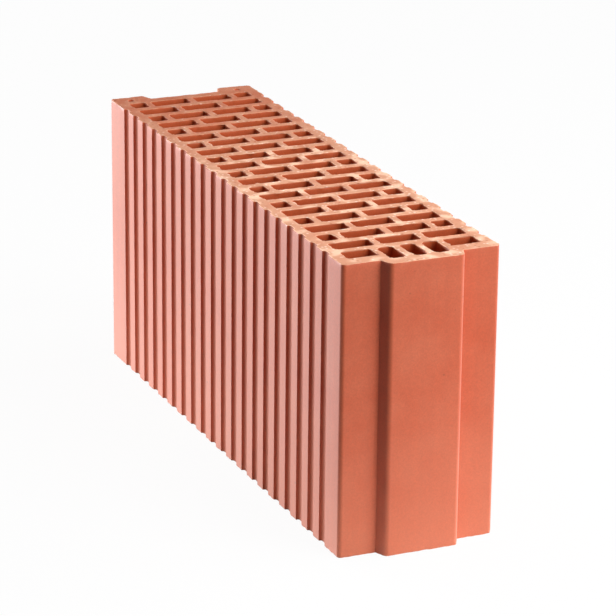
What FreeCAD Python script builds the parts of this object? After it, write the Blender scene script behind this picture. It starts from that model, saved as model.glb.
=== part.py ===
import FreeCAD, Part
import math
import os
import Sketcher

# Hollow clay block for walls, one extruded and fired piece, in millimetres.
# X runs along the wall, Z is up, and the origin is the middle of the underside.
# The clay is pushed through a die along Z, so every cell and rib runs the full height.
# A tongue stands out at the +X end and fits the groove at the -X end of the next block.

doc = FreeCAD.newDocument("hollow_clay_block")
sheet = doc.addObject("Spreadsheet::Sheet", "Sizes")

driving_sizes = [
    ("length", 500.0),           # from the groove-end lands to the recess beside the tongue
    ("width", 132.0),            # thickness of the wall, over the ribs
    ("height", 238.0),           # cut length of the extruded column
    ("tongue_depth", 10.5),      # how far the tongue stands out
    ("tongue_root", 69.0),       # width of the tongue where it leaves the block
    ("tongue_face", 61.0),       # width of the tongue at its front
    ("joint_side_gap", 1.0),     # room on each flank of the tongue in its groove
    ("joint_end_gap", 0.5),      # room in front of the tongue in its groove
    ("column_pairs", 10),        # a column of four cells and a column of three make a pair
    ("column_web", 7.68),        # clay between one column of cells and the next
    ("cell_bevel", 1.2),         # bevel in the corners of the cells
    ("shell", 10.5),             # clay between the long faces and the cells
    ("cross_web", 6.0),          # clay between neighbouring cells of one column
    ("groove_wall", 9.8),        # clay between the groove floor and the first cells
    ("face_wall", 12.7),         # clay between the tongue end and its cells
    ("end_cell_width", 16.4),    # opening along the wall of the last cells, beside the tongue
    ("tongue_cell", 12.5),       # width of the three cells that reach into the tongue
    ("tongue_cell_radius", 3.2), # rounding in the corners of those three
    ("key_mouth", 9.2),          # width of the plaster keys between the ribs, at the long face
    ("key_floor", 8.0),          # width of the plaster keys at their floor
    ("key_depth", 3.4),          # depth of the plaster keys
    ("key_bevel", 0.4),          # bevel along the edges of the ribs
    ("corner_radius", 3.5),      # rounding of the four upright corners
    ("tongue_radius", 4.5),      # rounding of the tongue's upright corners
    ("mouth_radius", 2.5),       # rounding of the groove's mouth
    ("land_hole_radius", 2.6),   # small drying hole in each land beside the groove
    ("land_hole_inset", 15.5),   # from the long face to the drying hole
]
for row, (alias, number) in enumerate(driving_sizes, start=1):
    sheet.set(f"A{row}", alias)
    sheet.set(f"B{row}", str(number))
    sheet.setAlias(f"B{row}", alias)
doc.recompute()


class Size:
    """A length with its present number and the sheet expression that gives it."""

    def __init__(self, number, text):
        self.number = number
        self.text = text

    def joined(self, sign, number, other):
        text = other.text if isinstance(other, Size) else str(other)
        return Size(number, f"({self.text} {sign} {text})")

    def __add__(self, other):
        return self.joined("+", self.number + plain(other), other)

    def __sub__(self, other):
        return self.joined("-", self.number - plain(other), other)

    def __mul__(self, other):
        return self.joined("*", self.number * plain(other), other)

    def __truediv__(self, other):
        return self.joined("/", self.number / plain(other), other)

    def __neg__(self):
        return Size(-self.number, f"(0 - {self.text})")


def plain(value):
    return value.number if isinstance(value, Size) else value


def cell_of(alias):
    return Size(float(sheet.get(alias)), f"Sizes.{alias}")


length = cell_of("length")
half_width = cell_of("width") / 2
height = cell_of("height")
tongue_depth = cell_of("tongue_depth")
pairs = cell_of("column_pairs")
cross_web = cell_of("cross_web")
face_wall = cell_of("face_wall")

# Stations along the wall, from the groove end to the tongue end.
land_x = -((length + tongue_depth) / 2)
groove_x = land_x + tongue_depth + cell_of("joint_end_gap")
first_cell_x = groove_x + cell_of("groove_wall")
recess_x = land_x + length
front_x = recess_x + tongue_depth
last_cell_x = recess_x - face_wall - cell_of("end_cell_width")

# The columns fill the room between the first and the last, whatever their webs leave.
pitch = (last_cell_x - first_cell_x) / (pairs * 2)
cell_width = pitch - cell_of("column_web")

# Half widths of the tongue and of the groove that takes it.
tongue_root = cell_of("tongue_root") / 2
tongue_face = cell_of("tongue_face") / 2
groove_mouth = tongue_root + cell_of("joint_side_gap")
groove_floor = tongue_face + cell_of("joint_side_gap")

# The columns hold three long cells, or two long ones between two short ones.
inner_y = half_width - cell_of("shell")
long_cell = (inner_y * 2 - cross_web * 2) / 3
short_cell = (inner_y * 2 - long_cell * 2 - cross_web * 3) / 2

body = doc.addObject("PartDesign::Body", "ClayBlock")
body.Label = "clay_block"


def origin_feature(role):
    return next(item for item in body.Origin.OriginFeatures if item.Role == role)


def new_sketch(name):
    sketch = body.newObject("Sketcher::SketchObject", name)
    sketch.AttachmentSupport = (origin_feature("XY_Plane"), [""])
    sketch.MapMode = "FlatFace"
    return sketch


def bind(sketch, constraint, size):
    index = sketch.addConstraint(constraint)
    sketch.setExpression(f"Constraints[{index}]", size.text)


def place(sketch, geometry, point, x, y):
    """Ties a point of the sketch to its two distances from the origin."""
    for kind, size in (("DistanceX", x), ("DistanceY", y)):
        if size.number < 0:
            bind(sketch, Sketcher.Constraint(kind, geometry, point, -1, 1, -size.number), -size)
        else:
            bind(sketch, Sketcher.Constraint(kind, -1, 1, geometry, point, size.number), size)


def polygon(sketch, corners):
    """Closed outline through the corners, each bound to the sheet."""
    points = [FreeCAD.Vector(x.number, y.number, 0) for x, y in corners]
    lines = []
    for start, end in zip(points, points[1:] + points[:1]):
        lines.append(sketch.addGeometry(Part.LineSegment(start, end), False))
    for line, following in zip(lines, lines[1:] + lines[:1]):
        sketch.addConstraint(Sketcher.Constraint("Coincident", line, 2, following, 1))
    for line, (x, y) in zip(lines, corners):
        place(sketch, line, 1, x, y)


def bevelled_cell(sketch, left, right, low, high):
    """Rectangle with bevelled corners."""
    bevel = cell_of("cell_bevel")
    polygon(sketch, [
        (left + bevel, low), (right - bevel, low),
        (right, low + bevel), (right, high - bevel),
        (right - bevel, high), (left + bevel, high),
        (left, high - bevel), (left, low + bevel),
    ])


def quarter_arc(sketch, x, y, radius, start):
    """Quarter of a circle from a start angle, with its centre and radius bound to the sheet."""
    circle = Part.Circle(FreeCAD.Vector(x.number, y.number, 0), FreeCAD.Vector(0, 0, 1), radius.number)
    arc = sketch.addGeometry(Part.ArcOfCircle(circle, start, start + math.pi / 2), False)
    place(sketch, arc, 3, x, y)
    bind(sketch, Sketcher.Constraint("Radius", arc, radius.number), radius)
    return arc


def rounded_cell(sketch, left, right, low, high, radius):
    """Rectangle with rounded corners, from the centres of its four corner arcs."""
    centres = [
        (right - radius, low + radius),
        (right - radius, high - radius),
        (left + radius, high - radius),
        (left + radius, low + radius),
    ]
    arcs = []
    for quarter, (x, y) in enumerate(centres):
        arcs.append(quarter_arc(sketch, x, y, radius, (quarter - 1) * math.pi / 2))
    for arc, following in zip(arcs, arcs[1:] + arcs[:1]):
        ends = (sketch.getPoint(arc, 2), sketch.getPoint(following, 1))
        side = sketch.addGeometry(Part.LineSegment(*ends), False)
        sketch.addConstraint(Sketcher.Constraint("Tangent", arc, 2, side, 1))
        sketch.addConstraint(Sketcher.Constraint("Tangent", side, 2, following, 1))


def cut_through(name, sketch):
    """Pocket through the full height, checked to take clay away."""
    before = body.Shape.Volume
    pocket = body.newObject("PartDesign::Pocket", name)
    pocket.Refine = False
    pocket.Profile = sketch
    pocket.Type = "ThroughAll"
    pocket.Reversed = True
    doc.recompute()
    if body.Shape.Volume >= before:
        raise RuntimeError(f"{name} cuts nothing")
    return pocket


def repeat(name, pocket, sketch, step, count):
    """Copies of a pocket along the wall."""
    before = body.Shape.Volume
    pattern = body.newObject("PartDesign::LinearPattern", name)
    pattern.Refine = False
    pattern.Originals = [pocket]
    pattern.Direction = (sketch, ["H_Axis"])
    pattern.setExpression("Length", (step * (count - 1)).text)
    pattern.setExpression("Occurrences", count.text)
    body.Tip = pattern
    doc.recompute()
    if body.Shape.Volume >= before:
        raise RuntimeError(f"{name} cuts nothing")
    return pattern


def round_uprights(name, size, places):
    """Fillet on the upright edges that stand at the given places."""
    base = body.Tip
    wanted = [(x.number, y.number) for x, y in places]
    edges = []
    for number, edge in enumerate(base.Shape.Edges, start=1):
        low, high = edge.BoundBox.ZMin, edge.BoundBox.ZMax
        if high - low < height.number - 0.01:
            continue
        at = edge.Vertexes[0].Point
        if any(abs(at.x - x) < 0.01 and abs(at.y - y) < 0.01 for x, y in wanted):
            edges.append(f"Edge{number}")
    if len(edges) != len(wanted):
        raise RuntimeError(f"{name} found {len(edges)} edges of {len(wanted)}")
    fillet = body.newObject("PartDesign::Fillet", name)
    fillet.Base = (base, edges)
    fillet.setExpression("Radius", size.text)
    doc.recompute()
    return fillet


def both_sides(x, y):
    return [(x, -y), (x, y)]


# The extruded column with its tongue and groove.
outline = new_sketch("OutlineSketch")
lower_side = [
    (land_x, -half_width),
    (recess_x, -half_width),
    (recess_x, -tongue_root),
    (front_x, -tongue_face),
]
upper_side = [(x, -y) for x, y in reversed(lower_side)]
groove = [
    (land_x, groove_mouth),
    (groove_x, groove_floor),
    (groove_x, -groove_floor),
    (land_x, -groove_mouth),
]
polygon(outline, lower_side + upper_side + groove)
column = body.newObject("PartDesign::Pad", "Column")
column.Profile = outline
column.setExpression("Length", height.text)
doc.recompute()

round_uprights("CornerRounds", cell_of("corner_radius"),
               both_sides(land_x, half_width) + both_sides(recess_x, half_width))
round_uprights("TongueRounds", cell_of("tongue_radius"), both_sides(front_x, tongue_face))
round_uprights("MouthRounds", cell_of("mouth_radius"), both_sides(land_x, groove_mouth))

# The last column: three cells that reach into the tongue, and one beside them at each side.
half_cell = cell_of("tongue_cell") / 2
tongue_cell_radius = cell_of("tongue_cell_radius")
tongue_step = half_cell * 2 + cross_web
side_y = tongue_step + half_cell + cross_web
end_sketch = new_sketch("TongueCellSketch")
tongue_end = front_x - face_wall
for low, high in ((-half_cell, half_cell),
                  (tongue_step - half_cell, tongue_step + half_cell),
                  (-(tongue_step + half_cell), half_cell - tongue_step)):
    rounded_cell(end_sketch, last_cell_x, tongue_end, low, high, tongue_cell_radius)
bevelled_cell(end_sketch, last_cell_x, recess_x - face_wall, side_y, inner_y)
bevelled_cell(end_sketch, last_cell_x, recess_x - face_wall, -inner_y, -side_y)
cut_through("TongueCells", end_sketch)

# A small drying hole in each land beside the groove.
land_hole_radius = cell_of("land_hole_radius")
land_hole_y = half_width - cell_of("land_hole_inset")
hole_sketch = new_sketch("LandHoleSketch")
for x, y in both_sides((land_x + first_cell_x) / 2, land_hole_y):
    circle = Part.Circle(FreeCAD.Vector(x.number, y.number, 0), FreeCAD.Vector(0, 0, 1),
                         land_hole_radius.number)
    hole = hole_sketch.addGeometry(circle, False)
    place(hole_sketch, hole, 3, x, y)
    bind(hole_sketch, Sketcher.Constraint("Radius", hole, land_hole_radius.number), land_hole_radius)
cut_through("LandHoles", hole_sketch)

# Plaster keys in both long faces, one in front of every web between two columns.
half_mouth = cell_of("key_mouth") / 2
half_floor = cell_of("key_floor") / 2
key_bevel = cell_of("key_bevel")
key_bottom = half_width - cell_of("key_depth")
first_web_x = first_cell_x + (cell_width + pitch) / 2
key = [
    (first_web_x - half_mouth, half_width),
    (first_web_x - half_mouth + key_bevel, half_width - key_bevel),
    (first_web_x - half_floor, key_bottom),
    (first_web_x + half_floor, key_bottom),
    (first_web_x + half_mouth - key_bevel, half_width - key_bevel),
    (first_web_x + half_mouth, half_width),
]
key_sketch = new_sketch("KeySketch")
polygon(key_sketch, key)
polygon(key_sketch, [(x, -y) for x, y in reversed(key)])
key_cut = cut_through("Key", key_sketch)
repeat("Keys", key_cut, key_sketch, pitch, pairs * 2)

# The staggered cells: a column with two long cells between two short ones, then a column with
# three long cells half a step on. The pair repeats along the wall.
pair_sketch = new_sketch("ColumnPairSketch")
left, right = first_cell_x, first_cell_x + cell_width
middle = cross_web / 2
bevelled_cell(pair_sketch, left, right, middle, middle + long_cell)
bevelled_cell(pair_sketch, left, right, -(middle + long_cell), -middle)
bevelled_cell(pair_sketch, left, right, inner_y - short_cell, inner_y)
bevelled_cell(pair_sketch, left, right, -inner_y, -(inner_y - short_cell))
left, right = left + pitch, right + pitch
bevelled_cell(pair_sketch, left, right, inner_y - long_cell, inner_y)
bevelled_cell(pair_sketch, left, right, -(long_cell / 2), long_cell / 2)
bevelled_cell(pair_sketch, left, right, -inner_y, -(inner_y - long_cell))
pair_cut = cut_through("ColumnPair", pair_sketch)
repeat("ColumnPairs", pair_cut, pair_sketch, pitch * 2, pairs)

for item in doc.Objects:
    if "Invalid" in item.State or "Error" in item.State:
        raise RuntimeError(f"{item.Name} failed: {item.State}")
block = body.Shape
if block.isNull() or not block.isValid() or len(block.Solids) != 1:
    raise RuntimeError("the block isn't one sound solid")

os.makedirs("parts", exist_ok=True)
block.exportStep(f"parts/{body.Label}.step")
print("volume cm3", round(block.Volume / 1000, 1), "faces", len(block.Faces))
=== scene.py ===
import math

import bpy
from mathutils import Matrix, Vector, noise


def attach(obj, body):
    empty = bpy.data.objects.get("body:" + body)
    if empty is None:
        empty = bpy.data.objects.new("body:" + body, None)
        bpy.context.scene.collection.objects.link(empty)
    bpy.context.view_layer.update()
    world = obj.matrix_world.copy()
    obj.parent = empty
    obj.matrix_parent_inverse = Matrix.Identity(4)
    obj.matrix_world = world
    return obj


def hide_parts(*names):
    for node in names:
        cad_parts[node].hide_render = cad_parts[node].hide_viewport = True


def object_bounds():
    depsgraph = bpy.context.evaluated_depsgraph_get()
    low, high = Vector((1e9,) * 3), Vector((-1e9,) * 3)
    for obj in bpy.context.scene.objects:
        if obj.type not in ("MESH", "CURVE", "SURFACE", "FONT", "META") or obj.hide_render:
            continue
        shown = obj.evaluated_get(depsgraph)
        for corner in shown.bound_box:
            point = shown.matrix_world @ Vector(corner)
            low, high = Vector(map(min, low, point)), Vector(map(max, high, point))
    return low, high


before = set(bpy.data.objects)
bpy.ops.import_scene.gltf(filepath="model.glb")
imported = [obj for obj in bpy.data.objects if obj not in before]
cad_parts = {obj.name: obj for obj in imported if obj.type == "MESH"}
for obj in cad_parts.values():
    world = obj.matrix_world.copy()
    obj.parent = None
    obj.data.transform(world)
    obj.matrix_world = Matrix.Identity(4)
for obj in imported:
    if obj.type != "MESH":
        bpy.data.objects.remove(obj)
cad_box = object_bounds()


# Hollow wall block: one piece of red clay, pushed through a die as a ribbed column full of cells,
# cut to height by a wire, then dried and fired. The die leaves smooth walls with faint upright
# streaks, and the wire leaves rough ends with worn rims and torn crumbs of clay.
MM = 0.001
block_top = cad_box[1].z
weld_gap = 0.001 * MM
hair = 0.01 * MM
slack = 0.05 * MM

cad_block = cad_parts["clay_block"]
block = bpy.data.objects.new("fired_block", cad_block.data.copy())
bpy.context.scene.collection.objects.link(block)
bpy.ops.object.select_all(action="DESELECT")
block.select_set(True)
bpy.context.view_layer.objects.active = block
bpy.ops.mesh.customdata_custom_splitnormals_clear()
bpy.ops.object.mode_set(mode="EDIT")
bpy.ops.mesh.select_all(action="SELECT")
bpy.ops.mesh.remove_doubles(threshold=weld_gap)
bpy.ops.mesh.mark_sharp(clear=True)
bpy.ops.mesh.tris_convert_to_quads(face_threshold=0.01, shape_threshold=3.1)

# The die leaves the plaster keys soft: their floors are washed up a little, the rib edge on the
# tongue's side of each key is set back, and the feet are round.
key_floor = cad_box[1].y - 3.4 * MM
key_wash = 1.1 * MM
key_reach = 4.8 * MM
foot_round = 1.5 * MM
tongue_side_shift = {"mouth": 2.3 * MM, "floor": 1.0 * MM}
groove_side_shift = {"mouth": 0.2 * MM, "floor": 0.6 * MM}
bpy.ops.mesh.select_mode(type="EDGE")
bpy.ops.mesh.select_all(action="DESELECT")
bpy.ops.object.mode_set(mode="OBJECT")
feet = sorted({round(vertex.co.x / MM, 2) for vertex in block.data.vertices
               if abs(vertex.co.y + key_floor) < slack})
key_middles = [(left + right) / 2 * MM for left, right in zip(feet[::2], feet[1::2])]
for vertex in block.data.vertices:
    if abs(vertex.co.y) < key_floor - slack:
        continue
    middle = min(key_middles, key=lambda place: abs(place - vertex.co.x))
    away = vertex.co.x - middle
    if abs(away) > key_reach:
        continue
    on_floor = abs(vertex.co.y) < key_floor + slack
    shift = tongue_side_shift if away > 0 else groove_side_shift
    vertex.co.x += shift["floor" if on_floor else "mouth"]
    if on_floor:
        vertex.co.y += math.copysign(key_wash, vertex.co.y)
for edge in block.data.edges:
    first, last = (block.data.vertices[index].co for index in edge.vertices)
    upright = math.hypot(first.x - last.x, first.y - last.y) < hair
    edge.select = upright and abs(abs(first.y) - key_floor - key_wash) < slack
bpy.ops.object.mode_set(mode="EDIT")
bpy.ops.mesh.bevel(offset=foot_round, segments=4, profile=0.5, affect="EDGES")


def slice_clay(point, normal):
    """Cuts all that shows of the mesh in edit mode along a plane."""
    bpy.ops.mesh.select_all(action="SELECT")
    bpy.ops.mesh.bisect(plane_co=point, plane_no=normal, threshold=0.002 * MM)


# Level cuts near both ends give the rims rows of their own to wear.
rim_levels = (0.5 * MM, 1.3 * MM, 3.0 * MM, 8.0 * MM)
fade_depth, rim_depth = rim_levels[2:]
for level in rim_levels:
    slice_clay((0, 0, level), (0, 0, 1))
    slice_clay((0, 0, block_top - level), (0, 0, 1))

# The plain middle of the walls is put aside, and only the two ends are cut up finely.
rim_step = 1.9 * MM
bpy.ops.object.mode_set(mode="OBJECT")
for face in block.data.polygons:
    face.select = rim_depth < face.center.z < block_top - rim_depth
bpy.ops.object.mode_set(mode="EDIT")
bpy.ops.mesh.hide(unselected=False)
for side, normal in ((0, (1, 0, 0)), (1, (0, 1, 0))):
    low, high = cad_box[0][side], cad_box[1][side]
    count = round((high - low) / rim_step)
    for cut in range(1, count):
        point = [0, 0, 0]
        point[side] = low + (high - low) * cut / count
        slice_clay(point, normal)
bpy.ops.mesh.reveal(select=False)
bpy.ops.object.mode_set(mode="OBJECT")

# Beyond these planes lie the ribbed faces, the tongue end and the groove end. What lies within
# them and stands upright is cell wall.
shell_face = cad_box[1].y - 3.6 * MM
recess_end = cad_box[1].x - 10.6 * MM
groove_end = cad_box[0].x + 11.1 * MM


def on_outside(place):
    """Whether a place is on the block's outer faces and not in a cell."""
    return abs(place.y) > shell_face or place.x > recess_end or place.x < groove_end


level_above = 0.5
cut_faces = set()
cell_faces = set()
rim_faces = set()
wall_facing = {}
for face in block.data.polygons:
    if abs(face.normal.z) > level_above:
        cut_faces.add(face.index)
        continue
    if not on_outside(face.center):
        cell_faces.add(face.index)
    elif min(face.center.z, block_top - face.center.z) < rim_levels[0]:
        rim_faces.add(face.index)
    for index in face.vertices:
        wall_facing.setdefault(index, Vector((0, 0, 0)))
        wall_facing[index] += Vector((face.normal.x, face.normal.y, 0))


def patches(place, size):
    """Soft noise from -1 to 1 whose patches are about as large as the size."""
    return noise.noise(place / size)


def torn(place, size, share):
    """Torn spots: 0 on most of the clay, and up to 1 in the middle of a spot."""
    return max(0.0, noise.noise(place / size) - share) / (1 - share)


def clamp(value):
    """The value, held between 0 and 1."""
    return min(1.0, max(0.0, value))


def rim_wear(amounts, fray, chip):
    """Wear of a rim in millimetres, from its plain, frayed and chipped amounts."""
    plain, frayed, chipped = amounts
    return plain + frayed * fray + chipped * chip


# How far an end sinks, in millimetres: on the whole, in wide sags, in ripples, in marks drawn out
# along the wire's path and in torn holes. Each end has a layer of the noise to itself.
plain_sink, sag, ripple, drag_mark, hole = 0.22, 0.22, 0.14, 0.10, 0.9
sag_size, ripple_size, hole_size, hole_share = 28 * MM, 4.5 * MM, 5 * MM, 0.45
drag_width, drag_length = 3, 30
top_layer, bottom_layer = 0.3, 0.7

# How far rims sink and draw back besides, in millimetres: plain, frayed and chipped amounts.
outer_sink, outer_wear = (0.05, 0.20, 0.9), (0.20, 0.25, 0.9)
cell_sink, cell_wear = (0.40, 0.45, 1.8), (0.45, 0.60, 1.8)
fray_size, chip_size, chip_share = 3.2 * MM, 7 * MM, 0.30
flap_length, flap_size, flap_share = 2.3, 6 * MM, 0.18
flap_place = Vector((0.4, 0.1, 0))

# Share of torn, dusty clay on the rims and on the webs between them. It falls off down a wall. Its
# rise towards the tongue end and its fall towards the groove end are painted light.
rim_dust, near_rim_light, frayed_rim_dust = 0.85, 0.35, 0.5
rim_far, rim_near_after = -0.15, 0.12
outer_dust_reach, cell_dust_reach = 0.4 * MM, 0.75 * MM
web_dust, web_light_fall, web_patch_dust = 0.75, 4.0, 0.5
web_near, web_patch_size = -0.05, 11 * MM

# The ends of the block sink unevenly, their rims fray and chip, and flaps of clay hang into the
# cells. The share of torn clay, with painted light that pales the tongue end, is kept for the
# colours.
torn_dust_and_light = block.data.attributes.new("torn_dust_and_light", "FLOAT", "POINT")
for vertex in block.data.vertices:
    place = vertex.co.copy()
    at_top = place.z > block_top / 2
    depth = block_top - place.z if at_top else place.z
    if depth > rim_depth - hair:
        continue
    inward = -1 if at_top else 1
    flat = Vector((place.x, place.y, top_layer if at_top else bottom_layer))
    outer = on_outside(place)
    facing = wall_facing.get(vertex.index)
    fray = patches(flat, fray_size)
    chip = torn(flat, chip_size, chip_share)
    if depth < hair:
        drag_place = Vector((place.x / drag_width, place.y / drag_length, flat.z * MM))
        sink = plain_sink + sag * patches(flat, sag_size) + ripple * patches(flat, ripple_size)
        sink += drag_mark * patches(drag_place, MM)
        sink += hole * torn(flat, hole_size, hole_share)
        if facing:
            sink += rim_wear(outer_sink if outer else cell_sink, fray, chip)
        vertex.co.z += inward * max(0.0, sink) * MM
    if facing:
        fade = max(0.0, 1 - depth / fade_depth)
        if outer:
            worn = max(0.0, rim_wear(outer_wear, fray, chip))
        else:
            worn = rim_wear(cell_wear, fray, chip)
            worn -= flap_length * torn(flat + flap_place, flap_size, flap_share)
        vertex.co -= facing.normalized() * worn * fade * fade * MM
        # Painted light: rims grow paler towards the tongue end.
        lit_nearness = clamp((place.x - rim_far) / rim_near_after)
        reach = outer_dust_reach if outer else cell_dust_reach
        dust = rim_dust + near_rim_light * lit_nearness + frayed_rim_dust * fray - depth / reach
    else:
        # Painted light: webs grow paler towards the tongue end.
        dust = web_dust + web_light_fall * min(0.0, place.x - web_near)
        dust += web_patch_dust * patches(flat, web_patch_size)
    torn_dust_and_light.data[vertex.index].value = clamp(dust)

smooth_below = math.radians(38)
bpy.ops.object.shade_smooth_by_angle(angle=smooth_below)


def add_node(tree, kind, settings=None, **inputs):
    """New node with its settings, and its inputs set to values or linked to sockets."""
    node = tree.nodes.new(kind)
    for name, value in (settings or {}).items():
        setattr(node, name, value)
    for name, value in inputs.items():
        plug(tree, node, name, value)
    return node


def plug(tree, node, name, value):
    """Sets one input of a node, by its name or as _ and its number, to a value or a socket."""
    socket = node.inputs[int(name[1:])] if name[0] == "_" else node.inputs[name]
    if isinstance(value, bpy.types.NodeSocket):
        tree.links.new(value, socket)
    else:
        socket.default_value = value


def object_place(tree):
    """Place on the piece, in its own coordinates."""
    return add_node(tree, "ShaderNodeTexCoord").outputs["Object"]


def remap(tree, value, span, result=(0.0, 1.0)):
    """Value that runs over the span turned into one that runs over the result, and held there."""
    node = add_node(tree, "ShaderNodeMapRange", _0=value, _1=span[0], _2=span[1], _3=result[0],
                    _4=result[1])
    return node.outputs["Result"]


def math_node(tree, operation, *values):
    """Outcome of one step of arithmetic."""
    inputs = {"_%d" % number: value for number, value in enumerate(values)}
    return add_node(tree, "ShaderNodeMath", {"operation": operation}, **inputs).outputs["Value"]


def blend(tree, share, first, second):
    """Colour between two colours."""
    node = add_node(tree, "ShaderNodeMix", {"data_type": "RGBA"}, _0=share, _6=first, _7=second)
    return node.outputs[2]


def shaded(tree, color, factor):
    """Colour made lighter or darker by a factor."""
    node = add_node(tree, "ShaderNodeVectorMath", {"operation": "SCALE"}, Vector=color,
                    Scale=factor)
    return node.outputs["Vector"]


def node_group(name, inputs, outputs):
    """New group of shader nodes with the named sockets, and what its inputs give."""
    group = bpy.data.node_groups.new(name, "ShaderNodeTree")
    for way, sockets in (("INPUT", inputs), ("OUTPUT", outputs)):
        for socket, kind in sockets.items():
            group.interface.new_socket(socket, in_out=way, socket_type="NodeSocket" + kind)
    return group, add_node(group, "NodeGroupInput").outputs


# Tone of the fired clay: large blotches between the clay's own colour and a paler one, and a
# fine grain of sand.
clay_tone, given = node_group("clay_tone",
                              {"Clay": "Color", "Pale": "Color", "Patchiness": "Float"},
                              {"Color": "Color", "Grain": "Float"})
here = object_place(clay_tone)
blotches = add_node(clay_tone, "ShaderNodeTexNoise", Vector=here, Scale=22.0, Detail=5.0,
                    Roughness=0.62)
spread = remap(clay_tone, blotches.outputs["Fac"], span=(0.32, 0.72))
paleness = math_node(clay_tone, "MULTIPLY", spread, given["Patchiness"])
blended = blend(clay_tone, paleness, given["Clay"], given["Pale"])
sand = add_node(clay_tone, "ShaderNodeTexNoise", Vector=here, Scale=750.0, Detail=3.0,
                Roughness=0.7)
sand_shade = remap(clay_tone, sand.outputs["Fac"], span=(0.25, 0.75), result=(0.88, 1.12))
add_node(clay_tone, "NodeGroupOutput", Color=shaded(clay_tone, blended, sand_shade),
         Grain=sand.outputs["Fac"])

# Spots of one size strewn over the clay, for crumbs and pits. Luck differs from spot to spot and
# picks those that show.
spots, given = node_group("spots", {"Scale": "Float", "Edge": "Float", "Core": "Float"},
                          {"Spot": "Float", "Luck": "Float"})
strewn = add_node(spots, "ShaderNodeTexVoronoi", Vector=object_place(spots), Scale=given["Scale"])
spot_luck = add_node(spots, "ShaderNodeSeparateColor", Color=strewn.outputs["Color"])
spot = remap(spots, strewn.outputs["Distance"], span=(given["Edge"], given["Core"]))
add_node(spots, "NodeGroupOutput", Spot=spot, Luck=spot_luck.outputs["Red"])

# Skin that the die leaves: dense and smooth, with faint upright streaks and a few pits painted
# dark as their shade. It is paler towards the foot as painted light thrown up from the floor, and
# paler where a rim is torn, more so towards the tongue end as painted light.
# Painted shade: pits are dark specks in the colour, for the shade in small holes.
skin_pit_shade = (0.26, 0.045, 0.015, 1)
foot_light_pale = (0.80, 0.30, 0.17, 1)
rim_pale = (0.85, 0.42, 0.24, 1)
skin_grain = 0.35
die_skin, given = node_group("die_skin", {"Clay": "Color", "Pale": "Color", "Dust": "Float"},
                             {"Color": "Color", "Polish": "Float", "Normal": "Vector"})
here = object_place(die_skin)
toned = add_node(die_skin, "ShaderNodeGroup", {"node_tree": clay_tone}, Clay=given["Clay"],
                 Pale=given["Pale"], Patchiness=0.45)
upright = add_node(die_skin, "ShaderNodeMapping", Vector=here, Scale=(110.0, 110.0, 1.5))
streaks = add_node(die_skin, "ShaderNodeTexNoise", Vector=upright.outputs["Vector"], Scale=1.0,
                   Detail=2.0).outputs["Fac"]
streak_shade = remap(die_skin, streaks, span=(0.3, 0.7), result=(0.97, 1.03))
streaked = shaded(die_skin, toned.outputs["Color"], streak_shade)
# Painted shade: dark specks for the shade in small pits.
pits = add_node(die_skin, "ShaderNodeGroup", {"node_tree": spots}, Scale=75.0, Edge=0.085,
                Core=0.045)
pit_some = remap(die_skin, pits.outputs["Luck"], span=(0.16, 0.10), result=(0.0, 0.7))
pit_share = math_node(die_skin, "MULTIPLY", pits.outputs["Spot"], pit_some)
pitted = blend(die_skin, pit_share, streaked, skin_pit_shade)
# Painted light: the skin pales towards its foot, as if lit from the floor below.
above_floor = add_node(die_skin, "ShaderNodeSeparateXYZ", Vector=here).outputs["Z"]
foot_light_share = remap(die_skin, above_floor, span=(0.0, 0.13), result=(given["Dust"], 0.0))
footed = blend(die_skin, foot_light_share, pitted, foot_light_pale)
# The torn share holds torn clay, and painted light that grows towards the tongue end.
rim = add_node(die_skin, "ShaderNodeAttribute", {"attribute_name": "torn_dust_and_light"}).outputs["Fac"]
relief_height = math_node(die_skin, "MULTIPLY_ADD", toned.outputs["Grain"], skin_grain, streaks)
relief = add_node(die_skin, "ShaderNodeBump", Strength=0.35, Distance=0.15 * MM,
                  Height=relief_height)
polish = remap(die_skin, streaks, span=(0.2, 0.8), result=(0.50, 0.58))
add_node(die_skin, "NodeGroupOutput", Color=blend(die_skin, rim, footed, rim_pale), Polish=polish,
         Normal=relief.outputs["Normal"])


def new_material(name):
    """Empty material, its nodes and its shader."""
    material = bpy.data.materials.new(name)
    material.use_nodes = True
    return material, material.node_tree, material.node_tree.nodes["Principled BSDF"]


def die_smoothed(name, clay, pale, gloss, veil, foot_light):
    """Clay with the die's skin, with its gloss and the white veil it shows at a low angle."""
    material, tree, shader = new_material(name)
    face = add_node(tree, "ShaderNodeGroup", {"node_tree": die_skin}, Clay=clay, Pale=pale,
                    Dust=foot_light)
    plug(tree, shader, "Base Color", face.outputs["Color"])
    plug(tree, shader, "Roughness", face.outputs["Polish"])
    plug(tree, shader, "Specular IOR Level", gloss)
    plug(tree, shader, "Sheen Weight", veil)
    plug(tree, shader, "Sheen Roughness", 0.45)
    plug(tree, shader, "Normal", face.outputs["Normal"])
    return material


# Painted light: how pale the face skin grows at its foot, as light from the floor.
face_clay, face_pale, face_foot_light = (0.605, 0.094, 0.026, 1), (0.70, 0.180, 0.083, 1), 0.27
# Painted shade: the cell walls are the faces' clay made darker, for the shade in the cells.
shaded_cell_clay, shaded_cell_pale = (0.46, 0.080, 0.0230, 1), (0.51, 0.105, 0.039, 1)
skin = die_smoothed("die_smoothed_clay", face_clay, face_pale, gloss=0.55, veil=0.58,
                    foot_light=face_foot_light)
torn_rim = die_smoothed("torn_rim_clay", face_clay, face_pale, gloss=0.1, veil=0.0,
                        foot_light=face_foot_light)
cell_skin = die_smoothed("shaded_cell_wall_clay", shaded_cell_clay, shaded_cell_pale, gloss=0.2, veil=0.0,
                         foot_light=0.0)
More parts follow.
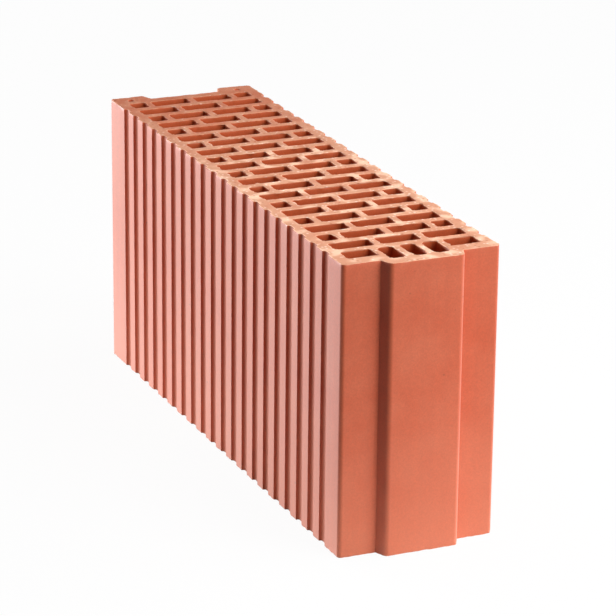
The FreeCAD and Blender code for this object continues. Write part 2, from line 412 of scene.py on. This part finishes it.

# The ends the wire leaves: open and sandy, paler, with drag lines across the block, dust, crumbs
# and pits painted dark as their shade, and palest along the torn rims. Dust and crumbs grow
# towards the tongue end as painted light.
cut_clay, cut_pale = (0.57, 0.148, 0.066, 1), (0.68, 0.27, 0.15, 1)
cut_dust, dust_cover = (0.75, 0.40, 0.25, 1), 0.85
cut_rim = (1.0, 0.62, 0.43, 1)
crumb_white = (1.0, 0.80, 0.66, 1)
cut_pit_shade = (0.50, 0.12, 0.05, 1)
cut_grain = 1.2
cut, tree, shader = new_material("wire_cut_clay")
toned = add_node(tree, "ShaderNodeGroup", {"node_tree": clay_tone}, Clay=cut_clay, Pale=cut_pale,
                 Patchiness=0.80)
# The torn share holds dust, and painted light that grows towards the tongue end.
rim = add_node(tree, "ShaderNodeAttribute", {"attribute_name": "torn_dust_and_light"}).outputs["Fac"]
dust_and_light_share = math_node(tree, "MULTIPLY", rim, dust_cover)
dusted = blend(tree, dust_and_light_share, toned.outputs["Color"], cut_dust)
rim_share = remap(tree, rim, span=(0.80, 1.0), result=(0.0, 0.85))
edged = blend(tree, rim_share, dusted, cut_rim)
crumbs = add_node(tree, "ShaderNodeGroup", {"node_tree": spots}, Scale=260.0, Edge=0.36, Core=0.12)
crumb_some = remap(tree, crumbs.outputs["Luck"], span=(0.40, 0.60))
crumb_spot = math_node(tree, "MULTIPLY", crumbs.outputs["Spot"], crumb_some)
speckled = blend(tree, math_node(tree, "MULTIPLY", crumb_spot, rim), edged, crumb_white)
# Painted shade: dark specks for the shade in small pits.
pit_some = remap(tree, crumbs.outputs["Luck"], span=(0.22, 0.12), result=(0.0, 0.75))
pit_share = math_node(tree, "MULTIPLY", crumbs.outputs["Spot"], pit_some)
pitted = blend(tree, pit_share, speckled, cut_pit_shade)
across = add_node(tree, "ShaderNodeMapping", Vector=object_place(tree), Scale=(700.0, 45.0, 45.0))
drag = add_node(tree, "ShaderNodeTexNoise", Vector=across.outputs["Vector"], Scale=1.0, Detail=3.0)
relief_height = math_node(tree, "MULTIPLY_ADD", toned.outputs["Grain"], cut_grain,
                          drag.outputs["Fac"])
relief = add_node(tree, "ShaderNodeBump", Strength=0.8, Distance=0.5 * MM, Height=relief_height)
plug(tree, shader, "Base Color", pitted)
plug(tree, shader, "Roughness", 0.88)
plug(tree, shader, "Normal", relief.outputs["Normal"])

finishes = ((skin, ()), (cut, cut_faces), (cell_skin, cell_faces), (torn_rim, rim_faces))
block.data.materials.clear()
for number, (finish, faces) in enumerate(finishes):
    block.data.materials.append(finish)
    for index in faces:
        block.data.polygons[index].material_index = number
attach(block, "root")
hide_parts("clay_block")


# Studio floor: a wide sheet of white paper under the block. It shows white to the camera, keeps a
# faint shadow where the block stands, and throws light back only in two painted pools of light
# near
# the block: before the tongue end and beside the ribs. In these pools it also glows in what the
# block reflects, though it is no lamp.
light_pools = (  # middle, and how far from it the light is full and gone
    ((0.34, 0.06, 0.0), 0.12, 0.34),
    ((-0.25, -0.18, 0.0), 0.20, 0.45),
)
dim_level = 0.06
paper_white = 0.85
glow_share = 0.95
bpy.ops.object.select_all(action="DESELECT")
bpy.ops.mesh.primitive_plane_add(size=12)
floor = bpy.context.active_object
floor.name = "paper_floor"
paper, tree, paper_shader = new_material("white_paper")
here = object_place(tree)
pools = []
for middle, full, gone in light_pools:
    away = add_node(tree, "ShaderNodeVectorMath", {"operation": "DISTANCE"}, _0=here, _1=middle)
    pools.append(remap(tree, away.outputs["Value"], span=(full, gone), result=(1.0, dim_level)))
light_path = add_node(tree, "ShaderNodeLightPath").outputs
pool_level = math_node(tree, "MAXIMUM", *pools)
glow_level = math_node(tree, "MAXIMUM", light_path["Is Camera Ray"], pool_level)
plug(tree, paper_shader, "Base Color", math_node(tree, "MULTIPLY", glow_level, paper_white))
plug(tree, paper_shader, "Roughness", 0.9)
# Painted reflection: to glossy rays the paper glows with the pools' strength.
glow = add_node(tree, "ShaderNodeEmission", Strength=glow_level)
seen = math_node(tree, "MAXIMUM", light_path["Is Camera Ray"], light_path["Is Glossy Ray"])
mixed = add_node(tree, "ShaderNodeMixShader", Fac=math_node(tree, "MULTIPLY", seen, glow_share),
                 _1=paper_shader.outputs["BSDF"], _2=glow.outputs["Emission"])
plug(tree, tree.nodes["Material Output"], "Surface", mixed.outputs["Shader"])
floor.data.materials.append(paper)


# Soft studio light: a strong low panel far off to the left that grazes the ribbed face, a weak one
# that fills its keys, a high and a low one before the tongue end, one behind the block, and a
# small one straight above its top.
block_middle = (0.0, 0.0, 0.12)
soft_panels = (  # name, place, what it aims at, width, height, power
    ("rib_side_panel", (-3.90, -1.55, 0.42), block_middle, 2.4, 0.8, 258),
    ("rib_fill_panel", (-1.30, -2.30, 0.45), block_middle, 1.4, 0.7, 28),
    ("high_end_panel", (1.35, 0.75, 1.30), block_middle, 1.2, 1.2, 27),
    ("low_end_panel", (1.90, 1.10, 0.50), block_middle, 1.2, 1.0, 11),
    ("back_panel", (0.30, 2.20, 0.90), block_middle, 1.4, 1.2, 46),
    ("top_panel", (0.14, 0.0, 0.80), (0.14, 0.0, 0.0), 0.4, 0.4, 1.6),
)
for name, place, aim, width, height, power in soft_panels:
    lamp = bpy.data.lights.new(name, "AREA")
    lamp.shape = "RECTANGLE"
    lamp.size = width
    lamp.size_y = height
    lamp.energy = power
    panel = bpy.data.objects.new(name, lamp)
    panel.location = place
    panel.rotation_mode = "QUATERNION"
    panel.rotation_quaternion = (Vector(aim) - Vector(place)).to_track_quat("-Z", "Y")
    bpy.context.scene.collection.objects.link(panel)


# Studio room: dim walls that show white to the camera.
dim_walls, white_walls = 0.01, 1.0
room = bpy.data.worlds.new("studio_room")
room.use_nodes = True
tree = room.node_tree
light_path = add_node(tree, "ShaderNodeLightPath").outputs
wall_level = remap(tree, light_path["Is Camera Ray"], span=(0.0, 1.0),
                   result=(dim_walls, white_walls))
plug(tree, tree.nodes["Background"], "Color", (1, 1, 1, 1))
plug(tree, tree.nodes["Background"], "Strength", wall_level)
bpy.context.scene.world = room


# Camera: the photograph's view, from above the tongue end, with a long lens.
view_target = Vector((-0.00573, 0.01676, 0.11272))
view_azimuth = math.radians(66.235)
view_elevation = math.radians(19.146)
view_roll = math.radians(0.618)
view_distance = 2.6234
lens_body = bpy.data.cameras.new("view_camera")
lens_body.lens = 183.42
lens_body.sensor_width = 36
lens_body.clip_end = 50
camera = bpy.data.objects.new("view_camera", lens_body)
turn = (Matrix.Rotation(view_azimuth, 4, "Z")
        @ Matrix.Rotation(math.pi / 2 - view_elevation, 4, "X")
        @ Matrix.Rotation(view_roll, 4, "Z"))
eye = view_target + turn.to_3x3() @ Vector((0, 0, view_distance))
camera.matrix_world = Matrix.Translation(eye) @ turn
bpy.context.scene.collection.objects.link(camera)
bpy.context.scene.camera = camera

bpy.context.scene.view_settings.view_transform = "Standard"
